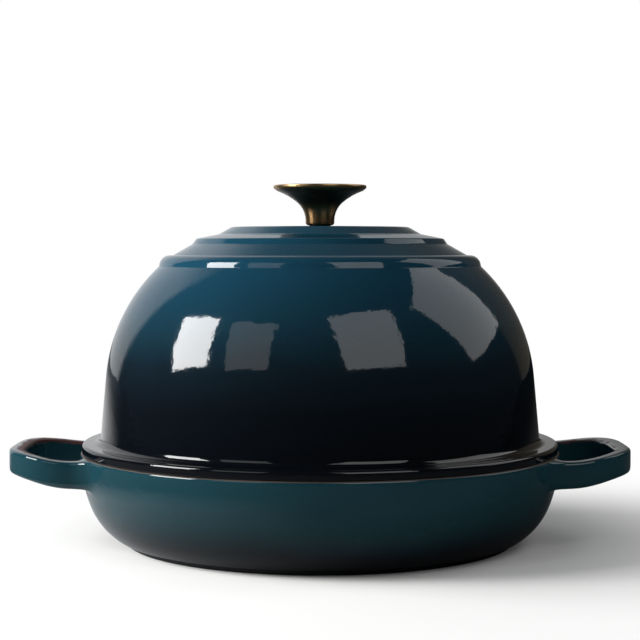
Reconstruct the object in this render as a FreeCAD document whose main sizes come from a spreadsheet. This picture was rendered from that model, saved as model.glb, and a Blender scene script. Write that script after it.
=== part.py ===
# Enamelled cast-iron bread cloche: a shallow base with two loop handles and a tall
# domed lid with a turned metal knob. Millimetres, +Z up, origin on the table under
# the middle of the base, handles along X, lid shut.
import FreeCAD, Part
import math
import os
import re
import Sketcher

SIZES = {
    # Base casting
    "base_height": 47.8,           # table to the top of the rim
    "rim_radius": 126.2,           # outside of the rim
    "base_wall": 4.5,              # thickness of the side
    "base_floor": 5.0,             # thickness of the bottom
    "belly_inset": 4.4,            # how far the side leans in down to the belly
    "belly_height": 22.0,          # table to the belly, where the side turns under
    "side_turn": 16.0,             # how far the side turns in below the belly
    "hollow_turn": 20.4,           # how far the bowl's inside turns in below the belly
    "foot_inset": 3.4,             # from the end of the side to the foot ring
    "foot_width": 9.0,             # width of the foot ring
    "foot_height": 2.5,            # height of the foot ring
    "foot_round": 0.9,             # rounding of the foot ring's edges
    "side_end_round": 3.0,         # rounding where the side meets the underside
    "rim_round": 1.8,              # rounding of the rim's outer edge
    "rim_inner_round": 0.9,        # rounding of the rim's inner edge
    # Loop handles, cast in one with the base
    "handle_reach": 36.0,          # rim to the end of a loop
    "handle_half_width": 47.5,     # middle to the outside of an arm
    "handle_bar": 8.5,             # width of an arm, and of the end of the loop
    "handle_corner": 34.0,         # outer corner radius of the loop
    "handle_depth": 13.8,          # depth of an arm at the rim
    "handle_end_depth": 12.7,      # depth of the loop at its end
    "handle_drop": 1.3,            # rim down to the top of an arm at its root
    "handle_rise": 4.1,            # how far a loop rises from its root to its end
    "handle_root": 30.0,           # length of an arm that the bowl takes up
    "handle_flare": 9.0,           # flare from the outside of an arm to the rim
    "handle_inner_flare": 5.0,     # flare from the inside of an arm to the rim
    "flare_sink": 0.35,            # how far the flares run into the rim
    "handle_upper_round": 2.4,     # rounding of the loop's upper edges
    "handle_lower_round": 3.2,     # rounding of the loop's lower edges
    # Lid casting
    "lid_height": 117.6,           # flange underside to the flat on top
    "lid_wall": 4.0,               # thickness of the dome
    "lid_crown": 6.6,              # thickness under the flat on top
    "flange_inset": 1.0,           # flange edge inside the rim's outside
    "flange_width": 9.5,           # flange edge to the foot of the dome's side
    "flange_thickness": 5.0,
    "flange_upper_round": 1.8,     # rounding of the flange's upper edge
    "flange_lower_round": 0.8,     # rounding of the flange's lower edge
    "flange_fillet": 3.6,          # fillet from the flange to the dome's side
    "lip_width": 4.0,              # locating lip under the flange
    "lip_depth": 1.6,
    "lip_clearance": 1.2,          # from the lip to the inside of the rim
    "lip_round": 0.7,
    "side_draft": 3.2,             # how far the dome's side leans in
    "side_height": 40.0,           # flange underside to the start of the dome's curve
    "hollow_shoulder_inset": 3.8,  # from the step's foot to the hollow's shoulder
    "hollow_shoulder_drop": 3.4,
    "ceiling_inset": 5.0,          # from the foot of the upper step to the flat ceiling
    "ceiling_round": 8.0,          # rounding of the hollow's shoulder and ceiling
    # Steps of the lid's top, from the flat outwards and down
    "flat_radius": 46.6,
    "upper_step_run": 6.6,
    "upper_step_drop": 3.8,
    "upper_tread_run": 12.0,
    "upper_tread_drop": 2.4,
    "middle_step_run": 1.9,
    "middle_step_drop": 2.8,
    "slope_run": 10.4,
    "slope_drop": 5.9,
    "lower_tread_run": 3.7,
    "lower_step_run": 3.4,
    "lower_step_drop": 5.7,
    "flat_edge_round": 4.0,        # rounding of the steps' edges, from the flat down
    "middle_edge_round": 1.4,
    "lower_edge_round": 2.0,
    "step_foot_round": 2.0,        # fillet at the steps' feet
    # Knob
    "knob_height": 21.2,
    "knob_radius": 24.5,
    "knob_foot_radius": 6.1,
    "knob_neck_radius": 7.6,
    "knob_foot_height": 1.6,       # height of the rounded foot
    "knob_foot_round": 1.6,
    "knob_neck_height": 1.0,       # straight neck above the foot
    "knob_flare_height": 12.0,     # seat to the middle of the flare
    "knob_flare_run": 4.3,         # neck to the middle of the flare
    "knob_edge_height": 3.0,       # top down to where the flare meets the edge
    "knob_edge_run": 1.8,          # flare's end to the outside of the edge
    "knob_edge_band": 1.6,         # upright band of the edge
    "knob_edge_round": 0.7,
    "knob_dish_radius": 21.0,      # shallow dish in the top
    "knob_dish_depth": 0.7,
    "knob_bore_depth": 13.5,
    "knob_bore_tip": 1.5,          # cone at the end of the bore
    # Fastening of the knob
    "screw_radius": 3.0,
    "screw_engagement": 11.0,      # screw inside the knob
    "screw_tip": 0.8,              # chamfer at the end of the screw
    "screw_head_radius": 5.6,
    "screw_head_height": 3.4,
    "screw_head_crown": 1.4,       # rise of the head's crown
    "recess_width": 1.3,           # driver cross in the head
    "recess_length": 5.6,
    "recess_depth": 1.7,
    "thread_clearance": 0.05,
    "hole_clearance": 0.4,         # screw to the holes that it passes
    "gasket_thickness": 0.8,
    "gasket_radius": 5.6,
    "washer_radius": 9.0,
    "washer_thickness": 1.2,
    "washer_round": 0.3,
    "spring_radius": 5.2,
    "spring_thickness": 1.6,
    "spring_slit": 1.0,
    "spring_slit_angle": 25.0,     # degrees
    # One overrun for all cuts
    "overrun": 2.0,
}

# How near an edge has to lie to its place to be picked, as a share of the overrun
tolerance_share = 1e-3

# How much of its room on an arm, or along the end, a corner of a loop can take up
corner_room_share = 0.97

doc = FreeCAD.newDocument("bread_cloche")
sheet = doc.addObject("Spreadsheet::Sheet", "Sizes")
for row, (alias, size) in enumerate(SIZES.items(), start=1):
    sheet.set("A" + str(row), str(size))
    sheet.setAlias("A" + str(row), alias)
doc.recompute()


# Helpers

def bound(text):
    """The expression with each size turned into its cell of the sheet."""
    return re.sub(r"[a-z]\w*", lambda word: bound_word(word.group()), text)


def bound_word(word):
    return "Sizes." + word if word in SIZES else word


def value(text):
    """What the expression comes to, in millimetres or degrees."""
    return float(sheet.evalExpression(bound(text)))


def new_body(label):
    body = doc.addObject("PartDesign::Body", label)
    body.Label = label
    return body


def plane_of(body, role):
    return [item for item in body.Origin.OriginFeatures if item.Role == role][0]


def new_sketch(body, name, role):
    sketch = body.newObject("Sketcher::SketchObject", name)
    sketch.AttachmentSupport = [(plane_of(body, role), "")]
    sketch.MapMode = "FlatFace"
    return sketch


def tangent_centre(start, end, heading):
    """Centre of the arc from start to end that sets off along the heading."""
    side = FreeCAD.Vector(-heading.y, heading.x, 0).normalize()
    chord = end - start
    return start + side * (chord.dot(chord) / (2 * side.dot(chord)))


def heading(start, end, centre):
    """Direction in which an edge from start arrives at its end."""
    if centre is None:
        return end - start
    ray = end - centre
    along = FreeCAD.Vector(-ray.y, ray.x, 0)
    return along if along.dot(end - start) > 0 else -along


def radius_centre(start, end, turn, radius):
    """Centre of the arc of that radius that turns left or right."""
    chord = end - start
    side = FreeCAD.Vector(-chord.y, chord.x, 0).normalize()
    reach = math.sqrt(radius ** 2 - (chord.Length / 2) ** 2)
    return (start + end) * 0.5 + side * (reach if turn == "left" else -reach)


def edge_geometry(start, end, centre):
    """A straight or round edge, and which of its ends is the start."""
    if centre is None:
        return Part.LineSegment(start, end), 1
    first, last = start - centre, end - centre
    circle = Part.Circle(centre, FreeCAD.Vector(0, 0, 1), first.Length)
    angles = [math.atan2(ray.y, ray.x) for ray in (first, last)]
    if first.cross(last).z > 0:
        return Part.ArcOfCircle(circle, angles[0], angles[1]), 1
    return Part.ArcOfCircle(circle, angles[1], angles[0]), 2


def add_outline(sketch, corners, tag="p"):
    """A closed outline through the corners, bound to the sheet.

    Each corner is (x, y, run): two expressions and how the edge to the next corner
    runs: None for straight, ("left" or "right", radius) for an arc, "on" for an arc
    that carries on smoothly from the edge before, "into" for one that runs smoothly
    into the edge after."""
    count = len(corners)
    points = [FreeCAD.Vector(value(x), value(y), 0) for x, y, run in corners]
    centres = [None] * count
    for i, (x, y, run) in enumerate(corners):
        if isinstance(run, tuple):
            centres[i] = radius_centre(points[i], points[(i + 1) % count], run[0], value(run[1]))
    for i, (x, y, run) in enumerate(corners):
        here, there = points[i], points[(i + 1) % count]
        if run == "on":
            centres[i] = tangent_centre(here, there, heading(points[i - 1], here, centres[i - 1]))
        elif run == "into":
            beyond = points[(i + 2) % count]
            centres[i] = tangent_centre(there, here, heading(beyond, there, centres[(i + 1) % count]))
    starts = []
    edges = []
    for i in range(count):
        geometry, start = edge_geometry(points[i], points[(i + 1) % count], centres[i])
        edges.append(sketch.addGeometry(geometry, False))
        starts.append(start)
    for i, (x, y, run) in enumerate(corners):
        before = i - 1
        smooth = run == "on" or corners[before][2] == "into"
        kind = "Tangent" if smooth else "Coincident"
        sketch.addConstraint(Sketcher.Constraint(
            kind, edges[before], 3 - starts[before], edges[i], starts[i]))
    for i, (x, y, run) in enumerate(corners):
        place_point(sketch, edges[i], starts[i], x, y, tag + str(i))
        if isinstance(run, tuple):
            index = sketch.addConstraint(Sketcher.Constraint("Radius", edges[i], value(run[1])))
            name_constraint(sketch, index, tag + str(i) + "_radius", run[1])


def place_point(sketch, edge, end, x, y, name):
    """Ties a point to the sketch's axes by its two expressions."""
    if x == "0":
        sketch.addConstraint(Sketcher.Constraint("PointOnObject", edge, end, -2))
    else:
        index = sketch.addConstraint(Sketcher.Constraint("DistanceX", -1, 1, edge, end, value(x)))
        name_constraint(sketch, index, name + "_x", x)
    if y == "0":
        sketch.addConstraint(Sketcher.Constraint("PointOnObject", edge, end, -1))
    else:
        index = sketch.addConstraint(Sketcher.Constraint("DistanceY", -1, 1, edge, end, value(y)))
        name_constraint(sketch, index, name + "_y", y)


def name_constraint(sketch, index, name, text):
    sketch.renameConstraint(index, name)
    sketch.setExpression("Constraints." + name, bound(text))


def turned(body, name, corners, kind="PartDesign::Revolution"):
    """Revolves an outline about the body's Z axis, to add it or, as a groove, to cut it."""
    sketch = new_sketch(body, name + "_outline", "XZ_Plane")
    add_outline(sketch, corners)
    feature = body.newObject(kind, name)
    feature.Profile = sketch
    feature.ReferenceAxis = (sketch, ["V_Axis"])
    feature.Angle = 360.0
    doc.recompute()
    return feature


def edge_names(shape, wanted):
    """Names of the edges that pass the test."""
    return ["Edge" + str(i) for i, edge in enumerate(shape.Edges, start=1) if wanted(edge)]


def ring_edges(shape, rings):
    """Names of the round edges about Z at the (radius, height) pairs."""
    places = [(value(radius), value(height)) for radius, height in rings]
    return edge_names(shape, lambda edge: is_ring(edge, places))


def is_ring(edge, places):
    if edge.Degenerated or not isinstance(edge.Curve, Part.Circle):
        return False
    radius, height = edge.Curve.Radius, edge.Curve.Center.z
    tolerance = tolerance_share * value("overrun")
    return any(abs(radius - r) < tolerance and abs(height - z) < tolerance for r, z in places)


def fillet(body, name, edges, radius):
    """Rounds the named edges of the body's last feature."""
    feature = body.newObject("PartDesign::Fillet", name)
    feature.Base = (body.Group[-2], edges)
    feature.setExpression("Radius", bound(radius))
    doc.recompute()
    return feature


def round_rings(body, name, rings, radius):
    """Rounds the round edges about Z at the (radius, height) pairs."""
    edges = ring_edges(body.Tip.Shape, rings)
    if not edges:
        raise RuntimeError("no edge to round for " + name)
    return fillet(body, name, edges, radius)


def lift(body, height):
    """Seats the body at its height above the table."""
    body.setExpression(".Placement.Base.z", bound(height))


# Sizes that pieces share

BELLY_RADIUS = "(rim_radius - belly_inset)"
SIDE_BEND = "((base_height - belly_height)^2 + belly_inset^2) / (2 * belly_inset)"
SIDE_END_RADIUS = "(rim_radius - belly_inset - side_turn)"
FOOT_RADIUS = "(rim_radius - belly_inset - side_turn - foot_inset)"
RIM_INSIDE = "(rim_radius - base_wall)"
FLANGE_RADIUS = "(rim_radius - flange_inset)"
HOLE_RADIUS = "(screw_radius + hole_clearance)"


# Base: bowl, foot ring and two loop handles in one casting

LOOP_END = "(rim_radius + handle_reach)"
LOOP_ROOT = "(rim_radius - handle_root)"
LOOP_TOP = "(base_height - handle_drop)"
LOOP_MIDDLE = "(rim_radius + handle_reach / 2)"
LOOP_TOP_BEND = "((handle_reach^2 + handle_rise^2) / (4 * handle_rise))"
LOW_RISE = "(handle_rise + handle_depth - handle_end_depth)"
LOOP_BOTTOM = "(" + LOOP_TOP + " - handle_depth)"
LOOP_BOTTOM_BEND = "((handle_reach^2 + " + LOW_RISE + "^2) / (4 * " + LOW_RISE + "))"
FLARE_CIRCLE = "(rim_radius - flare_sink)"


def flare_end(flare, middle):
    """Where a flare's circle, its middle that far from the X axis, touches the rim, and
    where it leaves the arm."""
    reach = "(" + FLARE_CIRCLE + " + " + flare + ")"
    along = "sqrt(" + reach + "^2 - " + middle + "^2)"
    share = FLARE_CIRCLE + " / " + reach
    return along + " * " + share, middle + " * " + share, along


def corner_within(*rooms):
    """Outer corner radius of a loop, as far as there is room for it."""
    limits = [str(corner_room_share) + " * (" + room + ")" for room in rooms]
    return "min(handle_corner; " + "; ".join(limits) + ")"


def loop_plan():
    """Plan of a loop, from its root at the lower arm round to the upper arm and back."""
    inner_width = "(handle_half_width - handle_bar)"
    outer_x, outer_y, outer_leave = flare_end("handle_flare", "(handle_half_width + handle_flare)")
    inner_x, inner_y, inner_leave = flare_end(
        "handle_inner_flare", "(" + inner_width + " - handle_inner_flare)")
    corner = corner_within(
        LOOP_END + " - " + outer_leave, LOOP_END + " - " + inner_leave, "handle_half_width")
    corner_x = LOOP_END + " - " + corner
    corner_y = "(handle_half_width - " + corner + ")"
    inner_end = LOOP_END + " - handle_bar"
    inner_corner = "(" + corner + " - handle_bar)"
    return [
        (LOOP_ROOT, "-" + outer_y, None),
        (outer_x, "-" + outer_y, ("right", "handle_flare")),
        (outer_leave, "-handle_half_width", None),
        (corner_x, "-handle_half_width", ("left", corner)),
        (LOOP_END, "-" + corner_y, None),
        (LOOP_END, corner_y, ("left", corner)),
        (corner_x, "handle_half_width", None),
        (outer_leave, "handle_half_width", ("right", "handle_flare")),
        (outer_x, outer_y, None),
        (LOOP_ROOT, outer_y, None),
        (LOOP_ROOT, inner_y, None),
        (inner_x, inner_y, ("right", "handle_inner_flare")),
        (inner_leave, inner_width, None),
        (corner_x, inner_width, ("right", inner_corner)),
        (inner_end, corner_y, None),
        (inner_end, "-" + corner_y, ("right", inner_corner)),
        (corner_x, "-" + inner_width, None),
        (inner_leave, "-" + inner_width, ("right", "handle_inner_flare")),
        (inner_x, "-" + inner_y, None),
        (LOOP_ROOT, "-" + inner_y, None),
    ]


def handle(label, turn):
    """One loop: a slab that rises in an S, cut to the plan of the loop, with rounded edges."""
    body = new_body(label)
    body.Placement.Rotation = FreeCAD.Rotation(FreeCAD.Vector(0, 0, 1), turn)
    side = new_sketch(body, label + "_side", "XZ_Plane")
    add_outline(side, [
        (LOOP_ROOT, LOOP_BOTTOM, None),
        ("rim_radius", LOOP_BOTTOM, ("left", LOOP_BOTTOM_BEND)),
        (LOOP_MIDDLE, LOOP_BOTTOM + " + " + LOW_RISE + " / 2", ("right", LOOP_BOTTOM_BEND)),
        (LOOP_END, LOOP_BOTTOM + " + " + LOW_RISE, None),
        (LOOP_END, LOOP_TOP + " + handle_rise", ("left", LOOP_TOP_BEND)),
        (LOOP_MIDDLE, LOOP_TOP + " + handle_rise / 2", ("right", LOOP_TOP_BEND)),
        ("rim_radius", LOOP_TOP, None),
        (LOOP_ROOT, LOOP_TOP, None),
    ])
    slab = body.newObject("PartDesign::Pad", label + "_slab")
    slab.Profile = side
    slab.Midplane = True
    slab.setExpression("Length", bound("2 * (handle_half_width + handle_flare + overrun)"))
    plan = new_sketch(body, label + "_plan", "XY_Plane")
    frame_y = "(handle_half_width + handle_flare + 2 * overrun)"
    add_outline(plan, [
        (LOOP_ROOT + " - overrun", "-" + frame_y, None),
        (LOOP_END + " + overrun", "-" + frame_y, None),
        (LOOP_END + " + overrun", frame_y, None),
        (LOOP_ROOT + " - overrun", frame_y, None),
    ], "frame")
    add_outline(plan, loop_plan(), "loop")
    cut = body.newObject("PartDesign::Pocket", label + "_cut")
    cut.Profile = plan
    cut.Type = "ThroughAll"
    cut.Midplane = True
    doc.recompute()
    fillet(body, label + "_upper_edges", edge_names(cut.Shape, is_upper), "handle_upper_round")
    fillet(body, label + "_lower_edges", edge_names(body.Tip.Shape, is_lower), "handle_lower_round")
    return body


def is_upper(edge):
    return follows(edge, LOOP_TOP, "handle_rise", LOOP_TOP_BEND)


def is_lower(edge):
    return follows(edge, LOOP_BOTTOM, LOW_RISE, LOOP_BOTTOM_BEND)


def rise_at(run, rise, bend):
    """How far a loop's face has risen that far from the rim, on its two arcs."""
    radius, reach = value(bend), value("handle_reach")
    if run < reach / 2:
        return radius - math.sqrt(radius ** 2 - max(run, 0) ** 2)
    return value(rise) - radius + math.sqrt(radius ** 2 - (reach - run) ** 2)


def follows(edge, level, rise, bend):
    """Whether an edge of a loop, outside the rim, lies on the loop's upper or lower face
    and isn't a line across that face, where one of its arcs starts."""
    tolerance = tolerance_share * value("overrun")
    points = edge.discretize(5)
    runs = [point.x - value("rim_radius") for point in points]
    for start in (0, value("handle_reach") / 2):
        if all(abs(run - start) < tolerance for run in runs):
            return False
    if any(math.hypot(point.x, point.y) < value(FLARE_CIRCLE) - tolerance for point in points):
        return False
    heights = [value(level) + rise_at(run, rise, bend) for run in runs]
    return all(abs(point.z - height) < tolerance for point, height in zip(points, heights))


def make_base():
    body = new_body("base")
    turned(body, "bowl", [
        ("0", "foot_height", None),
        (FOOT_RADIUS + " - foot_width", "foot_height", None),
        (FOOT_RADIUS + " - foot_width", "0", None),
        (FOOT_RADIUS, "0", None),
        (FOOT_RADIUS, "foot_height", None),
        (SIDE_END_RADIUS, "foot_height", "into"),
        (BELLY_RADIUS, "belly_height", ("left", SIDE_BEND)),
        ("rim_radius", "base_height", None),
        ("0", "base_height", None),
    ])
    round_rings(body, "rim_edge", [("rim_radius", "base_height")], "rim_round")
    round_rings(body, "side_end", [(SIDE_END_RADIUS, "foot_height")], "side_end_round")
    round_rings(body, "foot_edges", [(FOOT_RADIUS, "0"), (FOOT_RADIUS + " - foot_width", "0")],
                "foot_round")
    loops = body.newObject("PartDesign::Boolean", "loops")
    loops.setObjects([handle("right_handle", 0), handle("left_handle", 180)])
    loops.Type = "Fuse"
    doc.recompute()
    turned(body, "hollow", [
        ("0", "foot_height + base_floor", None),
        (BELLY_RADIUS + " - base_wall - hollow_turn", "foot_height + base_floor", "into"),
        (BELLY_RADIUS + " - base_wall", "belly_height", ("left", SIDE_BEND)),
        (RIM_INSIDE, "base_height", None),
        (RIM_INSIDE, "base_height + overrun", None),
        ("0", "base_height + overrun", None),
    ], "PartDesign::Groove")
    if body.Tip.Shape.Volume > loops.Shape.Volume / 2:
        raise RuntimeError("the bowl was not hollowed")
    round_rings(body, "rim_inner_edge", [(RIM_INSIDE, "base_height")], "rim_inner_round")
    return body


# Lid: flange with its locating lip, dome and stepped top in one casting

SIDE_FOOT = "(rim_radius - flange_inset - flange_width)"
LIP_RADIUS = "(rim_radius - base_wall - lip_clearance)"
LID_TOP = "(lip_depth + lid_height)"


def step_corners():
    """Corners of the stepped top, from the lowest step's foot in to the flat."""
    steps = [
        ("upper_step_run", "upper_step_drop"),
        ("upper_tread_run", "upper_tread_drop"),
        ("middle_step_run", "middle_step_drop"),
        ("slope_run", "slope_drop"),
        ("lower_tread_run", None),
        ("lower_step_run", "lower_step_drop"),
    ]
    radius, height = "flat_radius", LID_TOP
    corners = [(radius, height)]
    for run, drop in steps:
        radius = radius + " + " + run
        height = height if drop is None else height + " - " + drop
        corners.append((radius, height))
    return corners[::-1]


def make_lid():
    body = new_body("lid")
    flange_top = "lip_depth + flange_thickness"
    spring = "lip_depth + side_height"
    ceiling = LID_TOP + " - lid_crown"
    steps = step_corners()
    lower_foot, lower_edge, slope_foot, middle_foot, middle_edge, upper_foot, flat_edge = steps
    ceiling_edge = (upper_foot[0] + " - ceiling_inset", ceiling)
    shoulder = (lower_foot[0] + " - hollow_shoulder_inset", lower_foot[1] + " - hollow_shoulder_drop")
    turned(body, "dome", [
        (LIP_RADIUS + " - lip_width", "0", None),
        (LIP_RADIUS, "0", None),
        (LIP_RADIUS, "lip_depth", None),
        (FLANGE_RADIUS, "lip_depth", None),
        (FLANGE_RADIUS, flange_top, None),
        (SIDE_FOOT, flange_top, None),
        (SIDE_FOOT + " - side_draft", spring, "on"),
        *[(radius, height, None) for radius, height in steps],
        (HOLE_RADIUS, LID_TOP, None),
        (HOLE_RADIUS, ceiling, None),
        (*ceiling_edge, None),
        (*shoulder, "into"),
        (SIDE_FOOT + " - side_draft - lid_wall", spring, None),
        (SIDE_FOOT + " - lid_wall", "lip_depth", None),
        (LIP_RADIUS + " - lip_width", "lip_depth", None),
    ])
    round_rings(body, "flange_foot", [(SIDE_FOOT, flange_top)], "flange_fillet")
    round_rings(body, "flange_upper_edge", [(FLANGE_RADIUS, flange_top)], "flange_upper_round")
    round_rings(body, "flange_lower_edge", [(FLANGE_RADIUS, "lip_depth")], "flange_lower_round")
    round_rings(body, "lip_edges", [(LIP_RADIUS, "0"), (LIP_RADIUS + " - lip_width", "0")], "lip_round")
    round_rings(body, "flat_edge", [flat_edge], "flat_edge_round")
    round_rings(body, "middle_edge", [middle_edge], "middle_edge_round")
    round_rings(body, "lower_edge", [lower_edge], "lower_edge_round")
    round_rings(body, "step_feet", [lower_foot, slope_foot, middle_foot, upper_foot], "step_foot_round")
    round_rings(body, "ceiling_edges", [ceiling_edge, shoulder], "ceiling_round")
    lift(body, "base_height - lip_depth")
    return body


# Knob: a turned trumpet with a shallow dish on top and a blind bore from below

def make_knob():
    body = new_body("knob")
    bore = "(screw_radius + thread_clearance)"
    neck_top = "(knob_foot_height + knob_neck_height)"
    flare_rise = "(knob_flare_height - " + neck_top + ")"
    flare_bend = "(knob_flare_run^2 + " + flare_rise + "^2) / (2 * knob_flare_run)"
    dish_bend = "(knob_dish_radius^2 + knob_dish_depth^2) / (2 * knob_dish_depth)"
    turned(body, "trumpet", [
        (bore, "0", None),
        ("knob_foot_radius", "0", ("left", "knob_foot_round")),
        ("knob_neck_radius", "knob_foot_height", None),
        ("knob_neck_radius", neck_top, ("right", flare_bend)),
        ("knob_neck_radius + knob_flare_run", "knob_flare_height", "on"),
        ("knob_radius - knob_edge_run", "knob_height - knob_edge_height", None),
        ("knob_radius", "knob_height - knob_edge_band", None),
        ("knob_radius", "knob_height", None),
        ("knob_dish_radius", "knob_height", ("right", dish_bend)),
        ("0", "knob_height - knob_dish_depth", None),
        ("0", "knob_bore_depth + knob_bore_tip", None),
        (bore, "knob_bore_depth", None),
    ])
    round_rings(body, "edges", [
        ("knob_radius", "knob_height"),
        ("knob_radius", "knob_height - knob_edge_band"),
        ("knob_dish_radius", "knob_height"),
    ], "knob_edge_round")
    lift(body, "base_height + lid_height + gasket_thickness")
    return body


# Fastening: gasket over the lid, two washers and a pan-head screw under its ceiling

def make_ring(label, radius, thickness):
    """A plain ring round the screw, its underside at height zero."""
    body = new_body(label)
    turned(body, label + "_ring", [
        (HOLE_RADIUS, "0", None),
        (radius, "0", None),
        (radius, thickness, None),
        (HOLE_RADIUS, thickness, None),
    ])
    return body


def make_gasket():
    body = make_ring("knob_gasket", "gasket_radius", "gasket_thickness")
    lift(body, "base_height + lid_height")
    return body


def make_flat_washer():
    body = make_ring("flat_washer", "washer_radius", "washer_thickness")
    round_rings(body, "washer_edges", [("washer_radius", "0"), ("washer_radius", "washer_thickness")],
                "washer_round")
    lift(body, "base_height + lid_height - lid_crown - washer_thickness")
    return body


def make_spring_washer():
    """A ring with a slanting slit on one side."""
    body = make_ring("spring_washer", "spring_radius", "spring_thickness")
    whole = body.Tip.Shape.Volume
    slit = new_sketch(body, "slit_outline", "YZ_Plane")
    slant = "tan(spring_slit_angle * 1 deg) * (spring_thickness / 2 + overrun)"
    half = "spring_slit / 2"
    add_outline(slit, [
        ("-" + half + " - " + slant, "-overrun", None),
        (half + " - " + slant, "-overrun", None),
        (half + " + " + slant, "spring_thickness + overrun", None),
        ("-" + half + " + " + slant, "spring_thickness + overrun", None),
    ])
    cut = body.newObject("PartDesign::Pocket", "slit")
    cut.Profile = slit
    cut.setExpression("Length", bound("spring_radius + overrun"))
    doc.recompute()
    if not cut.Shape.Volume < whole:
        raise RuntimeError("the spring washer was not slit")
    lift(body, "base_height + lid_height - lid_crown - washer_thickness - spring_thickness")
    return body


def make_screw():
    """The head hangs below height screw_head_height, the shank stands above it."""
    body = new_body("knob_screw")
    stack = "spring_thickness + washer_thickness + lid_crown + gasket_thickness"
    tip = "(screw_head_height + " + stack + " + screw_engagement)"
    crown_bend = "(screw_head_radius^2 + screw_head_crown^2) / (2 * screw_head_crown)"
    turned(body, "screw", [
        ("0", "0", ("left", crown_bend)),
        ("screw_head_radius", "screw_head_crown", None),
        ("screw_head_radius", "screw_head_height", None),
        ("screw_radius", "screw_head_height", None),
        ("screw_radius", tip + " - screw_tip", None),
        ("screw_radius - screw_tip", tip, None),
        ("0", tip, None),
    ])
    whole = body.Tip.Shape.Volume
    cross = new_sketch(body, "driver_cross", "XY_Plane")
    arm, half = "recess_length / 2", "recess_width / 2"
    quarter = [(arm, half), (half, half), (half, arm)]
    corners = []
    for turn in range(4):
        corners.extend(quarter)
        quarter = [("-" + y if y[0] != "-" else y[1:], x) for x, y in quarter]
    add_outline(cross, [(x, y, None) for x, y in corners])
    cut = body.newObject("PartDesign::Pocket", "driver_recess")
    cut.Profile = cross
    cut.Reversed = True
    cut.setExpression("Length", bound("recess_depth"))
    doc.recompute()
    if not cut.Shape.Volume < whole:
        raise RuntimeError("the driver recess was not cut")
    lift(body, "base_height + lid_height - lid_crown - washer_thickness - spring_thickness"
               " - screw_head_height")
    return body


pieces = [
    make_base(),
    make_lid(),
    make_knob(),
    make_gasket(),
    make_flat_washer(),
    make_spring_washer(),
    make_screw(),
]
doc.recompute()

for item in doc.Objects:
    if "Invalid" in item.State or "Error" in item.State:
        raise RuntimeError(item.Label + " failed: " + str(item.State))
for piece in pieces:
    if piece.Shape.isNull() or not piece.Shape.isValid() or len(piece.Shape.Solids) != 1:
        raise RuntimeError(piece.Label + " is not one valid solid")
os.makedirs("parts", exist_ok=True)
for piece in pieces:
    piece.Shape.exportStep("parts/" + piece.Label + ".step")
    print(piece.Label, round(piece.Shape.Volume), "mm3")
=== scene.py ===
# Enamelled cast-iron bread cloche: the two castings and the knob are modelled with smooth
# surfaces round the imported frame, every piece gets its finish, and a plain studio lights them.
import math
from collections import namedtuple

import bmesh
import bpy
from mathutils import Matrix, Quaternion, Vector


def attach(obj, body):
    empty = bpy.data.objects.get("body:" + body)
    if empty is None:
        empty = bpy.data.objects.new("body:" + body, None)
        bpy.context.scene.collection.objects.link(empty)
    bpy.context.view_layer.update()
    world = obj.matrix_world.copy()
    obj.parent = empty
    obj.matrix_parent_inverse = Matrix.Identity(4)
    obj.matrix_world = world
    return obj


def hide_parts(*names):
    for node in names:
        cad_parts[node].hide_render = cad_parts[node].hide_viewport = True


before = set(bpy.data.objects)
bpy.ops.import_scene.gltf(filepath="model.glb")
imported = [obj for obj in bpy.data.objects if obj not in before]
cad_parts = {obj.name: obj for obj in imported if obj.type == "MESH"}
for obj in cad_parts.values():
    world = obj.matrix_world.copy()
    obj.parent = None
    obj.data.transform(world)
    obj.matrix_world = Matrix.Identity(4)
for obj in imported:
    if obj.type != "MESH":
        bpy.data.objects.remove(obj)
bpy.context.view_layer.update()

MM = 0.001

# Sizes in millimetres, the same as the solids'
RIM_HEIGHT = 47.8            # table to the rim, which the lid's flange lies on
RIM_RADIUS = 126.2
LID_HEIGHT = 117.6           # flange to the flat on top
GASKET = 0.8                 # gasket under the knob
KNOB_SEAT = RIM_HEIGHT + LID_HEIGHT + GASKET
BOTTOM_MIDDLE = 5.0          # table to the middle of the base's bottom
SCREW_HOLE = 3.4             # radius of the hole through the lid
KNOB_BORE = 3.05             # radius of the knob's bore

# Loop handles
LOOP_INNER = 39.0            # middle of the loop to the inside of an arm
LOOP_OUTER = 47.5            # and to its outside
LOOP_BEND = 13.5             # middle of the loop to the centre of a corner
LOOP_BEND_X = 128.2          # axis of the base to the centre of a corner
LOOP_START = 122.5           # axis to where an arm has its full shape
LOOP_LEVELS = (32.7, 37.0, 43.8, 46.5)    # rows of an arm, from its underside to its top
ROOT_LEVELS = (32.2, 38.2, 44.8, 47.8)    # the same rows where it grows from the bowl
ROOT_COLUMNS = (5, 6, 7)     # columns of the bowl that it grows from, from the X axis on
RISE_FROM, RISE_TO = 126.2, 161.0         # where a loop starts and stops rising
LOW_RISE, HIGH_RISE = 5.2, 4.1            # how far its underside and its top rise
LOOP_TOP = 0.95              # share of its depth from which a point lies on its top
THIN_SHARE = {1: 0.55, -1: 1.0}           # how thin its enamel runs, on the right and left

# How fine the meshes are
BASE_SEGMENTS = 104          # round the base, before it is smoothed
TURNING_SEGMENTS = 160       # round the lid and the knob
LOOP_STEPS = 8               # round a corner of a loop
ARC_STEP_ANGLE = 12          # degrees that a step of an arc spans at most
ARC_STEP = 4                 # and millimetres
ROUNDING_SEGMENTS = 4        # across a rounded edge
NEAR = 0.02                  # how near a point lies to its place, in millimetres
MERGED = 0.002               # how near points are made one

# What a normal's share in a direction has to pass for its face to look that way
OUTWARD, INWARD, DOWNWARD = 0.3, -0.2, -0.2


# Modelling

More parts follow.
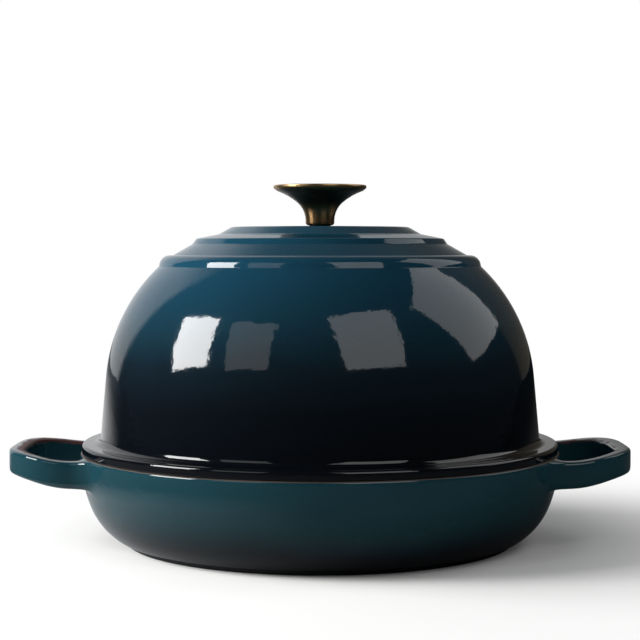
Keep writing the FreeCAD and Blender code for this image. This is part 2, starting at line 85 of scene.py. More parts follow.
# A run of an outline goes to a radius and a height. It is a straight line, or an arc of the
# radius bend, which turns left where bend is positive and right where it is negative. The
# edge that its end is turned to gets the radius edge.
Run = namedtuple("Run", "radius height bend edge", defaults=(None, None))


def spot(radius, height):
    """A point of an outline, from millimetres out from the axis and above the table."""
    return Vector((radius, 0, height)) * MM


def draw_outline(bm, start, runs, closed):
    """Draws an outline in the XZ plane from its start, run by run."""
    first = tip = bm.verts.new(spot(*start))
    for run in runs:
        end = spot(run.radius, run.height)
        if run.bend:
            tip = draw_arc(bm, tip, end, run.bend * MM)
        else:
            tip = bmesh.ops.extrude_vert_indiv(bm, verts=[tip])["verts"][0]
            tip.co = end
    if closed:
        bm.edges.new((tip, first))


def draw_arc(bm, tip, end, bend):
    """Draws an arc from the tip of an outline and returns its new tip."""
    chord = end - tip.co
    side = Vector((-chord.z, 0, chord.x)).normalized() * math.copysign(1, bend)
    half = chord.length / 2
    centre = tip.co + chord / 2 + side * math.sqrt(bend ** 2 - half ** 2)
    angle = 2 * math.asin(half / abs(bend))
    steps = max(math.ceil(angle / math.radians(ARC_STEP_ANGLE)),
                math.ceil(angle * abs(bend) / (ARC_STEP * MM)))
    turn = bmesh.ops.spin(bm, geom=[tip], cent=centre, axis=(0, 1, 0), dvec=(0, 0, 0),
                          angle=-math.copysign(angle, bend), steps=steps, use_merge=False,
                          use_normal_flip=False, use_duplicate=False)
    return [item for item in turn["geom_last"] if isinstance(item, bmesh.types.BMVert)][0]


def turn_outline(bm, segments):
    """Turns the outline about the axis, and closes its seam and its poles."""
    bmesh.ops.spin(bm, geom=bm.verts[:] + bm.edges[:], cent=(0, 0, 0), axis=(0, 0, 1),
                   dvec=(0, 0, 0), angle=math.tau, steps=segments, use_merge=True,
                   use_normal_flip=False, use_duplicate=False)
    bmesh.ops.remove_doubles(bm, verts=bm.verts[:], dist=MERGED * MM)
    bmesh.ops.recalc_face_normals(bm, faces=bm.faces[:])


def on_ring(vert, radius, height):
    """Whether a vertex lies on a ring round the axis."""
    off = math.hypot(vert.co.x, vert.co.y) - radius * MM
    return abs(off) < NEAR * MM and abs(vert.co.z - height * MM) < NEAR * MM


def round_edges(bm, runs):
    """Rounds the ring-shaped edges that the ends of runs are turned to."""
    for run in runs:
        if run.edge:
            ring = [edge for edge in bm.edges
                    if all(on_ring(vert, run.radius, run.height) for vert in edge.verts)]
            reach = run.edge * MM * math.tan(ring[0].calc_face_angle() / 2)
            bmesh.ops.bevel(bm, geom=ring, offset=reach, offset_type="OFFSET",
                            affect="EDGES", segments=ROUNDING_SEGMENTS, profile=0.5,
                            material=-1, clamp_overlap=True)


def new_piece(name, bm, materials, body, slot, *nodes):
    """Makes a smooth piece that rides on a body and stands for CAD nodes."""
    for face in bm.faces:
        face.smooth = True
    mesh = bpy.data.meshes.new(name)
    bm.to_mesh(mesh)
    bm.free()
    for material in materials:
        mesh.materials.append(material)
    piece = bpy.data.objects.new(name, mesh)
    bpy.context.scene.collection.objects.link(piece)
    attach(piece, body)
    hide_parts(*nodes)
    return piece


def outward(face):
    """How much a face looks away from the axis: 1 for straight away, -1 for towards it."""
    middle = face.calc_center_median()
    return Vector((middle.x, middle.y, 0)).normalized().dot(face.normal)


def is_inner(face):
    """Whether a face of the lid looks down or towards the axis."""
    out = outward(face)
    return out < OUTWARD and (out < INWARD or face.normal.z < DOWNWARD)


# Lid: flange with its low lip, tall dome and stepped top

def make_lid(outside, inside):
    bm = bmesh.new()
    flat = RIM_HEIGHT + LID_HEIGHT
    runs = [
        Run(46.6, flat, edge=4.0),
        Run(53.2, flat - 3.8, edge=2.0),
        Run(65.2, flat - 6.2, edge=1.4),
        Run(67.1, flat - 9.0, edge=2.0),
        Run(77.5, flat - 14.9, edge=2.0),
        Run(79.4, flat - 14.9),
        Run(84.6, flat - 19.6, bend=-5.6),
        Run(84.8, flat - 20.7, edge=0.7),
        Run(112.5, RIM_HEIGHT + 40, bend=-89.39),
        Run(115.7, RIM_HEIGHT + 5, edge=3.6),
        Run(125.2, RIM_HEIGHT + 5, edge=1.8),
        Run(125.2, RIM_HEIGHT, edge=0.8),
        Run(120.5, RIM_HEIGHT),
        Run(120.5, RIM_HEIGHT - 1.6, edge=0.7),
        Run(116.5, RIM_HEIGHT - 1.6, edge=0.7),
        Run(116.5, RIM_HEIGHT),
        Run(111.7, RIM_HEIGHT),
        Run(108.5, RIM_HEIGHT + 40),
        Run(80.8, flat - 24, bend=78.0, edge=8.0),
        Run(48.2, flat - 6.6, edge=8.0),
        Run(SCREW_HOLE, flat - 6.6),
    ]
    draw_outline(bm, (SCREW_HOLE, flat), runs, closed=True)
    turn_outline(bm, TURNING_SEGMENTS)
    round_edges(bm, runs)
    for face in bm.faces:
        face.material_index = int(is_inner(face))
    lid = new_piece("lid_casting", bm, [outside, inside], "lid", "lid_enamel", "lid")
    lid.modifiers.new("even_flats", "WEIGHTED_NORMAL")


# Base: bowl on a foot ring, with two loop handles drawn out of its side

def make_base(outside, inside, rim):
    bm = bmesh.new()
    places = [
        (50, 2.5), (91.8, 2.5), (93.4, 2.5), (93.4, 1.6), (93.4, 0), (95.0, 0),
        (100.8, 0), (102.4, 0), (102.4, 1.6), (102.4, 2.5), (103.6, 2.5), (105.8, 2.5),
        (111.1, 6.2), (115.6, 10.8), (119.2, 16.1), (121.8, 22.0), (123.6, 28.0),
        (124.6, ROOT_LEVELS[0]), (125.6, ROOT_LEVELS[1]), (126.1, ROOT_LEVELS[2]),
        (RIM_RADIUS, RIM_HEIGHT), (124.2, RIM_HEIGHT), (122.9, RIM_HEIGHT),
        (121.7, RIM_HEIGHT), (121.6, 46.2), (120.5, 34.3), (117.3, 22.0), (114.1, 16.1),
        (109.3, 11.5), (103.4, 8.5), (96.8, 7.5), (88, 7.5), (45, 7.5), (0, 7.5),
    ]
    draw_outline(bm, (0, 2.5), [Run(*place) for place in places], closed=False)
    turn_outline(bm, BASE_SEGMENTS)
    for face in bm.faces:
        face.material_index = base_finish(face)
    thin = bm.verts.layers.float.new("thin_enamel")
    for side in (1, -1):
        draw_loop(bm, side, thin)
    bmesh.ops.recalc_face_normals(bm, faces=bm.faces[:])
    base = new_piece("base_casting", bm, [outside, inside, rim], "base", "base_enamel", "base")
    smooth = base.modifiers.new("smooth", "SUBSURF")
    smooth.levels = smooth.render_levels = 2


def base_finish(face):
    """0 for the outside, 1 for the bowl's inside, 2 for the ring on top of the rim."""
    height = face.calc_center_median().z / MM
    if height > RIM_HEIGHT - NEAR:
        return 2
    return int(height > BOTTOM_MIDDLE and outward(face) < OUTWARD)


def column(vert, side, hand):
    """Which column of the bowl a vertex stands on, counted from the X axis."""
    turn = math.atan2(hand * vert.co.y, side * vert.co.x)
    return round(turn * BASE_SEGMENTS / math.tau)


def row(vert):
    """Which row of an arm's root a vertex lies in."""
    return min(range(len(ROOT_LEVELS)), key=lambda i: abs(vert.co.z / MM - ROOT_LEVELS[i]))


def root(bm, side, hand):
    """The patch of the bowl's side that an arm grows from."""
    return [face for face in bm.faces if face.material_index == 0
            and min(vert.co.z for vert in face.verts) > (ROOT_LEVELS[0] - NEAR) * MM
            and all(column(vert, side, hand) in ROOT_COLUMNS for vert in face.verts)]


def patch(faces):
    """Faces with their edges and corners, each once."""
    return list(dict.fromkeys(
        item for face in faces for item in [face, *face.edges, *face.verts]))


def corners(faces):
    """The corners of a patch, each once."""
    return [item for item in patch(faces) if isinstance(item, bmesh.types.BMVert)]


def border(faces):
    """The edges round a patch."""
    return [edge for face in faces for edge in face.edges
            if len([other for other in edge.link_faces if other in faces]) == 1]


def only_faces(items):
    return [item for item in items if isinstance(item, bmesh.types.BMFace)]


def drawn_out(bm, faces, move):
    """Draws a patch out of the mesh by a move in millimetres and returns its new end."""
    end = only_faces(bmesh.ops.extrude_face_region(bm, geom=patch(faces))["geom"])
    bmesh.ops.translate(bm, verts=corners(end), vec=Vector(move) * MM)
    return end


def swung(bm, faces, centre, angle):
    """Swings a patch round an upright axis and returns its new end."""
    swing = bmesh.ops.spin(bm, geom=patch(faces), cent=Vector(centre) * MM, axis=(0, 0, 1),
                           dvec=(0, 0, 0), angle=angle, steps=LOOP_STEPS,
                           use_merge=False, use_normal_flip=False, use_duplicate=False)
    return only_faces(swing["geom_last"])


def draw_loop(bm, side, thin):
    """Draws one arm out of the bowl, round the loop and back into the bowl."""
    before = set(bm.verts)
    near, far = root(bm, side, 1), root(bm, side, -1)
    quarter = -side * math.pi / 2
    tip = drawn_out(bm, near, (0, 0, 0))
    for vert in corners(tip):
        across = column(vert, side, 1) - ROOT_COLUMNS[0]
        across /= ROOT_COLUMNS[-1] - ROOT_COLUMNS[0]
        vert.co = Vector((side * LOOP_START, LOOP_INNER + across * (LOOP_OUTER - LOOP_INNER),
                          LOOP_LEVELS[row(vert)])) * MM
    tip = drawn_out(bm, tip, (side * (LOOP_BEND_X - LOOP_START), 0, 0))
    tip = swung(bm, tip, (side * LOOP_BEND_X, LOOP_BEND, 0), quarter)
    for half in range(2):
        tip = drawn_out(bm, tip, (0, -LOOP_BEND, 0))
    tip = swung(bm, tip, (side * LOOP_BEND_X, -LOOP_BEND, 0), quarter)
    tip = drawn_out(bm, tip, (side * (LOOP_START - LOOP_BEND_X), 0, 0))
    ends = border(tip) + border(far)
    bmesh.ops.delete(bm, geom=tip + far, context="FACES")
    bmesh.ops.bridge_loops(bm, edges=ends)
    for face in bm.faces:
        if any(vert not in before for vert in face.verts):
            face.material_index = 0
    for vert in bm.verts:
        if vert not in before:
            level = (vert.co.z / MM - LOOP_LEVELS[0]) / (LOOP_LEVELS[-1] - LOOP_LEVELS[0])
            if level > LOOP_TOP:
                vert[thin] = thinness(vert, side) * THIN_SHARE[side]
            vert.co.z += (LOW_RISE + (HIGH_RISE - LOW_RISE) * level) * rise(vert, side) * MM


def thinness(vert, side):
    """How thin the enamel has run on top of a loop: 1 at its inside, 0 at its outside."""
    along = max(side * vert.co.x / MM - LOOP_BEND_X, 0)
    across = max(abs(vert.co.y) / MM - LOOP_BEND, 0)
    out = math.hypot(along, across) + LOOP_BEND
    return min(max((LOOP_OUTER - out) / (LOOP_OUTER - LOOP_INNER), 0), 1)


def rise(vert, side):
    """Share of its rise that a loop has reached at a vertex: slow, steep, slow."""
    share = (side * vert.co.x / MM - RISE_FROM) / (RISE_TO - RISE_FROM)
    share = min(max(share, 0), 1)
    return share * share * (3 - 2 * share)


# Knob: turned trumpet with a shallow dish on top

def make_knob(metal):
    bm = bmesh.new()
    foot = KNOB_SEAT
    runs = [
        Run(21.0, foot + 21.2, bend=315.4, edge=0.7),
        Run(24.5, foot + 21.2, edge=0.7),
        Run(24.5, foot + 19.6, edge=0.7),
        Run(22.7, foot + 18.2),
        Run(11.9, foot + 12.0, bend=32.6),
        Run(7.6, foot + 2.6, bend=12.43),
        Run(7.6, foot + 1.6),
        Run(6.1, foot, bend=-1.6),
        Run(KNOB_BORE, foot),
        Run(KNOB_BORE, foot + 13.5),
        Run(0, foot + 15.0),
    ]
    draw_outline(bm, (0, foot + 20.5), runs, closed=False)
    turn_outline(bm, TURNING_SEGMENTS)
    round_edges(bm, runs)
    knob = new_piece("turned_knob", bm, [metal], "lid", "knob_metal", "knob")
    knob.modifiers.new("even_flats", "WEIGHTED_NORMAL")


# Finishes

def linear(code):
    """Linear colour of an sRGB hex value."""
    parts = [int(code[i:i + 2], 16) / 255 for i in (1, 3, 5)]
    return [part / 12.92 if part <= 0.04045 else ((part + 0.055) / 1.055) ** 2.4
            for part in parts] + [1]


def add(tree, kind, settings=None, links=None):
    """Adds a node. Settings go to its properties, its unlinked sockets or, as stops of
    (place, colour), to its colour ramp; links tie outputs to its sockets."""
    made = tree.nodes.new(kind)
    for name, setting in (settings or {}).items():
        if name == "stops":
            for place, code in setting[2:]:
                made.color_ramp.elements.new(place)
            for element, (place, code) in zip(made.color_ramp.elements, sorted(setting)):
                element.position, element.color = place, linear(code)
        elif isinstance(name, int) or name in made.inputs:
            made.inputs[name].default_value = setting
        else:
            setattr(made, name, setting)
    for name, source in (links or {}).items():
        tree.links.new(source, made.inputs[name])
    return made


def new_material(name):
    """An empty node material, its tree, and its piece's own coordinates."""
    material = bpy.data.materials.new(name)
    material.use_nodes = True
    tree = material.node_tree
    tree.nodes.clear()
    coords = add(tree, "ShaderNodeTexCoord").outputs["Object"]
    return material, tree, coords


def per_metre(size):
    """Texture scale for a pattern of that size in millimetres."""
    return 1 / (size * MM)


# Vitreous enamel, sprayed and fired. A thick skin of glass over the iron, so it looks wet:
# lamps mirror in it sharply, but with slightly ragged edges, because the glass sets in low
# waves. The gun lays teal over black in clouds, so the colour fades unevenly with height.
# Where the glass runs thin over the inner edge of a handle, the brown ground coat shows.
SPRAY_CLOUD = 45             # clouds left by the gun, in millimetres
SPRAY_SWAY = 10              # how far they push the fade up and down in all
FRIT_SPECK = 1.6             # specks of the ground glass, drawn coarser than they are to show
FRIT_CONTRAST = 0.03         # how much paler or darker than the coat a speck is
GLASS_WAVE = 4.5             # waves of the set glass
GLASS_WAVE_DEPTH = 0.06
THIN_PATCH = 7               # patches where the glass has run thin
THIN_RAGGED = 0.8            # how much they fray the edge of the thin glass
THIN_DULL = 0.5              # how much rougher it is there
GROUND_COAT = "#4a2422"


def sprayed_enamel(name, low, high, stops):
    """Enamel whose colour fades through stops between two heights in millimetres."""
    material, tree, coords = new_material(name)
    cloud = add(tree, "ShaderNodeTexNoise", {"Scale": per_metre(SPRAY_CLOUD), "Detail": 3.0},
                {"Vector": coords})
    place = add(tree, "ShaderNodeSeparateXYZ", {}, {"Vector": coords})
    sway = add(tree, "ShaderNodeMath", {
        "operation": "MULTIPLY_ADD", 1: SPRAY_SWAY * MM, 2: -SPRAY_SWAY * MM / 2},
        {0: cloud.outputs["Fac"]})
    height = add(tree, "ShaderNodeMath", {"operation": "ADD"},
                 {0: place.outputs["Z"], 1: sway.outputs["Value"]})
    share = add(tree, "ShaderNodeMapRange", {"From Min": low * MM, "From Max": high * MM},
                {"Value": height.outputs["Value"]})
    fade = add(tree, "ShaderNodeValToRGB", {"stops": stops}, {"Fac": share.outputs["Result"]})
    speck = add(tree, "ShaderNodeTexNoise", {"Scale": per_metre(FRIT_SPECK), "Detail": 2.0},
                {"Vector": coords})
    spread = add(tree, "ShaderNodeMapRange", {
        "From Min": 0.3, "From Max": 0.7,
        "To Min": 1 - FRIT_CONTRAST, "To Max": 1 + FRIT_CONTRAST},
        {"Value": speck.outputs["Fac"]})
    coat = add(tree, "ShaderNodeMix",
               {"data_type": "RGBA", "blend_type": "MULTIPLY", "Factor": 1.0},
               {6: fade.outputs["Color"], 7: spread.outputs["Result"]})
    edge = add(tree, "ShaderNodeAttribute", {"attribute_name": "thin_enamel"})
    ragged = add(tree, "ShaderNodeTexNoise", {"Scale": per_metre(THIN_PATCH), "Detail": 3.0},
                 {"Vector": coords})
    thin = add(tree, "ShaderNodeMath", {"operation": "MULTIPLY_ADD", 1: THIN_RAGGED},
               {0: ragged.outputs["Fac"], 2: edge.outputs["Fac"]})
    worn = add(tree, "ShaderNodeMapRange", {"From Min": 0.75, "From Max": 1.0},
               {"Value": thin.outputs["Value"]})
    colour = add(tree, "ShaderNodeMix", {"data_type": "RGBA", 7: linear(GROUND_COAT)},
                 {"Factor": worn.outputs["Result"], 6: coat.outputs[2]})
    gloss = add(tree, "ShaderNodeMapRange", {"To Min": 0.03, "To Max": 0.075},
                {"Value": cloud.outputs["Fac"]})
    dull = add(tree, "ShaderNodeMath", {"operation": "MULTIPLY_ADD", 1: THIN_DULL},
               {0: worn.outputs["Result"], 2: gloss.outputs["Result"]})
    wave = add(tree, "ShaderNodeTexNoise", {"Scale": per_metre(GLASS_WAVE), "Detail": 2.0},
               {"Vector": coords})
    bump = add(tree, "ShaderNodeBump", {"Strength": 1.0, "Distance": GLASS_WAVE_DEPTH * MM},
               {"Height": wave.outputs["Fac"]})
    shader = add(tree, "ShaderNodeBsdfPrincipled", {"IOR": 1.55}, {
        "Base Color": colour.outputs[2],
        "Roughness": dull.outputs["Value"],
        "Normal": bump.outputs["Normal"],
    })
    add(tree, "ShaderNodeOutputMaterial", {}, {"Surface": shader.outputs["BSDF"]})
    return material


# Matt vitreous enamel, sprayed thin and fired with matting grains. It scatters lamps into a
# broad dull sheen and has a fine grit, with faint brown clouds from baking. The ground coat
# on top of the rim, left without colour, is the same stuff in a greyer brown.
MATT_GRIT = 0.9              # grit in millimetres, drawn coarser than it is to show
MATT_GRIT_DEPTH = 0.04
BAKED_CLOUD = 30             # clouds from baking


def matt_enamel(name, dark, light):
    material, tree, coords = new_material(name)
    grit = add(tree, "ShaderNodeTexNoise", {"Scale": per_metre(MATT_GRIT), "Detail": 4.0},
               {"Vector": coords})
    cloud = add(tree, "ShaderNodeTexNoise", {"Scale": per_metre(BAKED_CLOUD), "Detail": 3.0},
                {"Vector": coords})
    tone = add(tree, "ShaderNodeValToRGB", {"stops": [(0.3, dark), (0.75, light)]},
               {"Fac": cloud.outputs["Fac"]})
    rough = add(tree, "ShaderNodeMapRange", {"To Min": 0.42, "To Max": 0.62},
                {"Value": grit.outputs["Fac"]})
    bump = add(tree, "ShaderNodeBump", {"Strength": 1.0, "Distance": MATT_GRIT_DEPTH * MM},
               {"Height": grit.outputs["Fac"]})
    shader = add(tree, "ShaderNodeBsdfPrincipled", {"IOR": 1.5}, {
        "Base Color": tone.outputs["Color"],
        "Roughness": rough.outputs["Result"],
        "Normal": bump.outputs["Normal"],
    })
    add(tree, "ShaderNodeOutputMaterial", {}, {"Surface": shader.outputs["BSDF"]})
    return material


# Brass, turned on a lathe, darkened in a bath and rubbed back. Fine rings run round it and
# draw lamps out into soft streaks. Its colour runs with height: pale gold at the top edge and
# on the neck, brown-black under the flare.
LATHE_RING = 0.5             # rings in millimetres, drawn coarser than they are to show
LATHE_RING_DEPTH = 0.01
TONE_CLOUD = 5               # clouds in the colour bands
TONE_SWAY = 2                # how far they push the bands' edges up
TONE_FROM, TONE_TO = KNOB_SEAT + 1, KNOB_SEAT + 22     # heights that the colours span


def turned_brass(name):
    material, tree, coords = new_material(name)
    flat = add(tree, "ShaderNodeVectorMath", {"operation": "MULTIPLY", 1: (1, 1, 0)},
               {0: coords})
    radius = add(tree, "ShaderNodeVectorMath", {"operation": "LENGTH"},
                 {0: flat.outputs["Vector"]})
    place = add(tree, "ShaderNodeSeparateXYZ", {}, {"Vector": coords})
    along = add(tree, "ShaderNodeMath", {"operation": "ADD"},
                {0: radius.outputs["Value"], 1: place.outputs["Z"]})
    ring = add(tree, "ShaderNodeMath",
               {"operation": "MULTIPLY", 1: math.tau * per_metre(LATHE_RING)},
               {0: along.outputs["Value"]})
    line = add(tree, "ShaderNodeMath", {"operation": "SINE"}, {0: ring.outputs["Value"]})
    cloud = add(tree, "ShaderNodeTexNoise", {"Scale": per_metre(TONE_CLOUD), "Detail": 6.0},
                {"Vector": coords})
    sway = add(tree, "ShaderNodeMath", {"operation": "MULTIPLY_ADD", 1: TONE_SWAY * MM},
               {0: cloud.outputs["Fac"], 2: place.outputs["Z"]})
    share = add(tree, "ShaderNodeMapRange",
                {"From Min": TONE_FROM * MM, "From Max": TONE_TO * MM},
                {"Value": sway.outputs["Value"]})
    tone = add(tree, "ShaderNodeValToRGB", {"stops": [
        (0.0, "#6f5335"), (0.12, "#a5835c"), (0.36, "#a5835c"), (0.56, "#59442f"),
        (0.84, "#4f3f2e"), (0.93, "#b39268"), (1.0, "#c4a478")]},
        {"Fac": share.outputs["Result"]})
    rough = add(tree, "ShaderNodeMapRange", {"To Min": 0.38, "To Max": 0.22},
                {"Value": cloud.outputs["Fac"]})
    bump = add(tree, "ShaderNodeBump", {"Strength": 0.6, "Distance": LATHE_RING_DEPTH * MM},
               {"Height": line.outputs["Value"]})
    shader = add(tree, "ShaderNodeBsdfPrincipled", {"Metallic": 1.0}, {
        "Base Color": tone.outputs["Color"],
        "Roughness": rough.outputs["Result"],
        "Normal": bump.outputs["Normal"],
    })
    add(tree, "ShaderNodeOutputMaterial", {}, {"Surface": shader.outputs["BSDF"]})
    return material


# Carbon steel, rolled and tumbled. Plain grey metal with a soft shine that is blotched with
# brighter and duller spots where the fasteners have knocked together.
TUMBLE_SPOT = 1.2            # spots in millimetres


def tumbled_steel(name):
    material, tree, coords = new_material(name)
    knock = add(tree, "ShaderNodeTexNoise", {"Scale": per_metre(TUMBLE_SPOT), "Detail": 3.0},
                {"Vector": coords})
    tone = add(tree, "ShaderNodeValToRGB", {"stops": [(0.3, "#8c8c8a"), (0.7, "#b9b9b6")]},
               {"Fac": knock.outputs["Fac"]})
    rough = add(tree, "ShaderNodeMapRange", {"To Min": 0.25, "To Max": 0.45},
                {"Value": knock.outputs["Fac"]})
    shader = add(tree, "ShaderNodeBsdfPrincipled", {"Metallic": 1.0}, {
        "Base Color": tone.outputs["Color"],
        "Roughness": rough.outputs["Result"],
    })
    add(tree, "ShaderNodeOutputMaterial", {}, {"Surface": shader.outputs["BSDF"]})
    return material


# Silicone rubber, moulded. Matt black with a faint grey bloom, and no sharp glints.
BLOOM = 2                    # patches of bloom in millimetres


def moulded_silicone(name):
    material, tree, coords = new_material(name)
    bloom = add(tree, "ShaderNodeTexNoise", {"Scale": per_metre(BLOOM), "Detail": 3.0},
                {"Vector": coords})
    tone = add(tree, "ShaderNodeValToRGB", {"stops": [(0.3, "#0c0c0c"), (0.7, "#191918")]},
               {"Fac": bloom.outputs["Fac"]})
    shader = add(tree, "ShaderNodeBsdfPrincipled", {"Roughness": 0.6, "IOR": 1.41},
                 {"Base Color": tone.outputs["Color"]})
    add(tree, "ShaderNodeOutputMaterial", {}, {"Surface": shader.outputs["BSDF"]})
    return material


# Studio

AIM = Vector((0, 0, 110)) * MM           # what the lamps face
LAMP_DISTANCE = 1.5                      # metres
CAMERA_PLACE = Vector((0, -878, 155)) * MM
CAMERA_TILT = 2.53                       # degrees below the level
CAMERA_LENS, CAMERA_SENSOR = 93.36, 36   # millimetres
TABLE_RADIUS = 6.0                       # metres
SMOOTH = {"interpolation_type": "SMOOTHSTEP"}
# How the studio's mirrored parts run into each other, as shares of a direction
BACK_EDGE = {**SMOOTH, "From Min": 0.66, "From Max": 0.74}      # room's front to its backdrop
TABLE_BACK_EDGE = {**SMOOTH, "From Min": 0.5, "From Max": 0.9}  # table's front to its back
LEFT_EDGE = {**SMOOTH, "From Min": 0.35, "From Max": -0.15}     # dull right to bright left
TOP_EDGE = {**SMOOTH, "From Min": 0.85, "From Max": 0.55}       # dull top to bright wall
BACKDROP_WAY = (0, 1, 0.48)              # where the backdrop stands: behind and a little up
TABLE_RIGHT = (1, -0.8, 0)               # the way from the table's bright side to its dark
# How far out from the axis the table changes, in metres
WHITE_OUT = {**SMOOTH, "From Min": 0.13, "From Max": 0.34}      # shadow to plain white


def soft_box(name, azimuth, elevation, roll, width, height, radiance):
    """A rectangular lamp that faces the object: azimuth counts from the viewer to their
    right, roll lifts its right side, angles are in degrees and sizes in metres, and radiance
    is in multiples of white."""
    lamp = bpy.data.lights.new(name, "AREA")
    lamp.shape = "RECTANGLE"
    lamp.size, lamp.size_y = width, height
    lamp.energy = radiance * math.pi * width * height
    turn, tilt = math.radians(azimuth), math.radians(elevation)
    away = Vector((math.sin(turn) * math.cos(tilt), -math.cos(turn) * math.cos(tilt),
                   math.sin(tilt)))
    facing = away.to_track_quat("Z", "Y") @ Quaternion((0, 0, 1), math.radians(roll))
    box = bpy.data.objects.new(name, lamp)
    box.location = AIM + away * LAMP_DISTANCE
    box.rotation_euler = facing.to_euler()
    box.visible_camera = False
    bpy.context.scene.collection.objects.link(box)
    return box


def mirrored_rays(tree):
    """Light Path's outputs, and 1 for the rays that show the studio in gloss or glass."""
    path = add(tree, "ShaderNodeLightPath").outputs
    mirrored = add(tree, "ShaderNodeMath", {"operation": "MAXIMUM"},
                   {0: path["Is Glossy Ray"], 1: path["Is Transmission Ray"]})
    return path, mirrored.outputs["Value"]


def make_room():
    """White all round for the camera and an even grey fill for the light. In the enamel it
    mirrors as a dark room with a backdrop behind the object, bright on the left."""
    world = bpy.data.worlds.new("studio")
    world.use_nodes = True
    bpy.context.scene.world = world
    tree = world.node_tree
    tree.nodes.clear()
    path, mirrored = mirrored_rays(tree)
    way = add(tree, "ShaderNodeTexCoord").outputs["Generated"]
    turn = add(tree, "ShaderNodeSeparateXYZ", {}, {"Vector": way}).outputs
    depth = add(tree, "ShaderNodeVectorMath", {"operation": "DOT_PRODUCT", 1: BACKDROP_WAY},
                {0: way})
    behind = add(tree, "ShaderNodeMapRange", BACK_EDGE, {"Value": depth.outputs["Value"]})
    left = add(tree, "ShaderNodeMapRange", LEFT_EDGE, {"Value": turn["X"]})
    low = add(tree, "ShaderNodeMapRange", TOP_EDGE, {"Value": turn["Z"]})
    low_left = add(tree, "ShaderNodeMath", {"operation": "MULTIPLY"},
                   {0: left.outputs["Result"], 1: low.outputs["Result"]})
    backdrop = add(tree, "ShaderNodeMix",
                   {"data_type": "RGBA", 6: linear("#524d45"), 7: linear("#e0e2e4")},
                   {"Factor": low_left.outputs["Value"]})
    room = add(tree, "ShaderNodeMix", {"data_type": "RGBA", 6: linear("#1c1e20")},
               {"Factor": behind.outputs["Result"], 7: backdrop.outputs[2]})
    side = add(tree, "ShaderNodeMapRange", {"From Min": -0.7, "From Max": 0.7},
               {"Value": turn["X"]})
    fill = add(tree, "ShaderNodeMix",
               {"data_type": "RGBA", 6: linear("#8e9092"), 7: linear("#4a4c4e")},
               {"Factor": side.outputs["Result"]})
    light = add(tree, "ShaderNodeMix", {"data_type": "RGBA"},
                {"Factor": mirrored, 6: fill.outputs[2], 7: room.outputs[2]})
    view = add(tree, "ShaderNodeMix", {"data_type": "RGBA", 7: linear("#ffffff")},
               {"Factor": path["Is Camera Ray"], 6: light.outputs[2]})
    sky = add(tree, "ShaderNodeBackground", {"Strength": 1.0}, {"Color": view.outputs[2]})
    add(tree, "ShaderNodeOutputWorld", {}, {"Surface": sky.outputs["Background"]})


def make_floor():
    """A pale table top that takes the object's shadow and runs out to white. In the enamel
    it mirrors bright close by on the left and behind on the left, and dark elsewhere."""
    bm = bmesh.new()
    bmesh.ops.create_circle(bm, cap_ends=True, segments=96, radius=TABLE_RADIUS)
    mesh = bpy.data.meshes.new("table_top")
    bm.to_mesh(mesh)
    bm.free()
    floor = bpy.data.objects.new("table_top", mesh)
    bpy.context.scene.collection.objects.link(floor)
    material, tree, coords = new_material("painted_table")
    path, mirrored = mirrored_rays(tree)
    away = add(tree, "ShaderNodeVectorMath", {"operation": "LENGTH"}, {0: coords})
    out = add(tree, "ShaderNodeMapRange", WHITE_OUT, {"Value": away.outputs["Value"]})
    white_out = add(tree, "ShaderNodeMath", {"operation": "MULTIPLY"},
                    {0: out.outputs["Result"], 1: path["Is Camera Ray"]})
    far = add(tree, "ShaderNodeMapRange", {"From Min": 0.4, "From Max": 1.4},
              {"Value": away.outputs["Value"]})
    dusk = add(tree, "ShaderNodeMix",
               {"data_type": "RGBA", 6: linear("#484848"), 7: linear("#202224")},
               {"Factor": far.outputs["Result"]})
    across = add(tree, "ShaderNodeVectorMath", {"operation": "DOT_PRODUCT", 1: TABLE_RIGHT},
                 {0: coords})
    left = add(tree, "ShaderNodeMapRange", {"From Min": 0.14, "From Max": -0.1},
               {"Value": across.outputs["Value"]})
    near = add(tree, "ShaderNodeMapRange", {"From Min": 0.24, "From Max": 0.18},
               {"Value": away.outputs["Value"]})
    near_left = add(tree, "ShaderNodeMath", {"operation": "MULTIPLY"},
                    {0: left.outputs["Result"], 1: near.outputs["Result"]})
    way = add(tree, "ShaderNodeVectorMath", {"operation": "NORMALIZE"}, {0: coords})
    turn = add(tree, "ShaderNodeSeparateXYZ", {}, {"Vector": way.outputs["Vector"]}).outputs
    behind = add(tree, "ShaderNodeMapRange", TABLE_BACK_EDGE, {"Value": turn["Y"]})
    leftward = add(tree, "ShaderNodeMapRange", LEFT_EDGE, {"Value": turn["X"]})
    back_left = add(tree, "ShaderNodeMath", {"operation": "MULTIPLY"},
                    {0: behind.outputs["Result"], 1: leftward.outputs["Result"]})
    near_glint = add(tree, "ShaderNodeMix", {"data_type": "RGBA", 7: linear("#b2b4b6")},
                     {"Factor": near_left.outputs["Value"], 6: dusk.outputs[2]})
    glint = add(tree, "ShaderNodeMix", {"data_type": "RGBA", 7: linear("#dcdcdc")},
                {"Factor": back_left.outputs["Value"], 6: near_glint.outputs[2]})
    shade = add(tree, "ShaderNodeMix", {"data_type": "RGBA", 6: linear("#f0f0ee")},
                {"Factor": mirrored, 7: glint.outputs[2]})
    top = add(tree, "ShaderNodeBsdfDiffuse", {}, {"Color": shade.outputs[2]})
    white = add(tree, "ShaderNodeEmission", {"Color": linear("#ffffff"), "Strength": 1.0})
    mixed = add(tree, "ShaderNodeMixShader", {}, {
        0: white_out.outputs["Value"], 1: top.outputs["BSDF"], 2: white.outputs["Emission"]})
    add(tree, "ShaderNodeOutputMaterial", {}, {"Surface": mixed.outputs["Shader"]})
    mesh.materials.append(material)


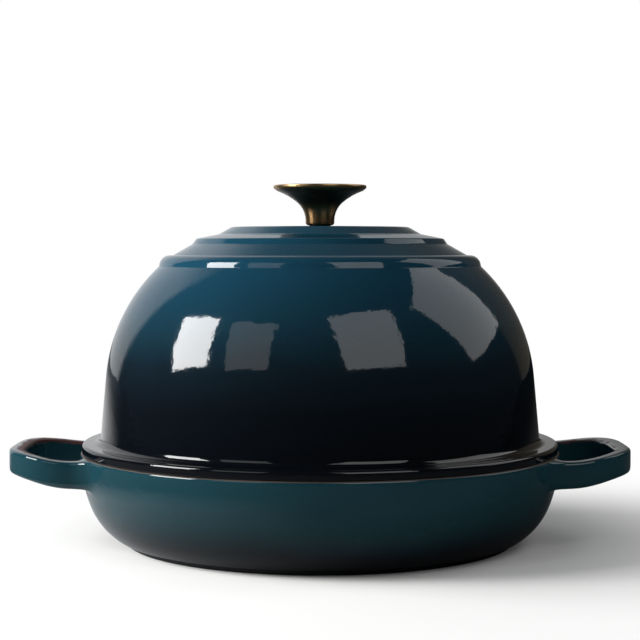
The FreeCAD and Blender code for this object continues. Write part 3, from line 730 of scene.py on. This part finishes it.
def make_camera():
    lens = bpy.data.cameras.new("camera")
    lens.lens = CAMERA_LENS
    lens.sensor_width = CAMERA_SENSOR
    camera = bpy.data.objects.new("camera", lens)
    camera.location = CAMERA_PLACE
    camera.rotation_euler = (math.radians(90 - CAMERA_TILT), 0, 0)
    bpy.context.scene.collection.objects.link(camera)
    bpy.context.scene.camera = camera


lid_enamel = sprayed_enamel(
    "sprayed_vitreous_enamel_lid", RIM_HEIGHT, RIM_HEIGHT + LID_HEIGHT, [
        (0.0, "#06080c"), (0.25, "#070b10"), (0.42, "#0b161d"), (0.6, "#102a36"),
        (0.8, "#123546"), (1.0, "#143a4a"),
    ])
base_enamel = sprayed_enamel("sprayed_vitreous_enamel_base", 0, RIM_HEIGHT, [
    (0.0, "#07080b"), (0.2, "#090d11"), (0.5, "#10292f"), (0.75, "#122f36"), (1.0, "#123139"),
])
baking_enamel = matt_enamel("matt_vitreous_enamel", "#241c18", "#33291f")
rim_enamel = matt_enamel("fired_ground_coat", "#332c29", "#4a423c")
steel = tumbled_steel("tumbled_carbon_steel")
silicone = moulded_silicone("moulded_silicone_rubber")

make_lid(lid_enamel, baking_enamel)
make_base(base_enamel, baking_enamel, rim_enamel)
make_knob(turned_brass("turned_antique_brass"))
for node, material in (("knob_gasket", silicone), ("flat_washer", steel),
                       ("spring_washer", steel), ("knob_screw", steel)):
    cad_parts[node].data.materials.clear()
    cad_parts[node].data.materials.append(material)

make_room()
make_floor()
make_camera()
soft_box("left_key", azimuth=-75.5, elevation=25.5, roll=18,
         width=0.58, height=0.72, radiance=14.0)
low_fill = soft_box("left_low_fill", azimuth=-92, elevation=10, roll=0,
                    width=0.9, height=0.9, radiance=17.0)
low_fill.visible_glossy = False
soft_box("left_front_panel", azimuth=-40.5, elevation=30, roll=8,
         width=0.6, height=0.76, radiance=0.8)
soft_box("right_front_panel", azimuth=29, elevation=35.5, roll=0,
         width=0.85, height=0.95, radiance=1.4)
soft_box("right_panel", azimuth=102, elevation=36, roll=10,
         width=1.05, height=1.1, radiance=1.15)
bpy.context.scene.view_settings.view_transform = "Standard"
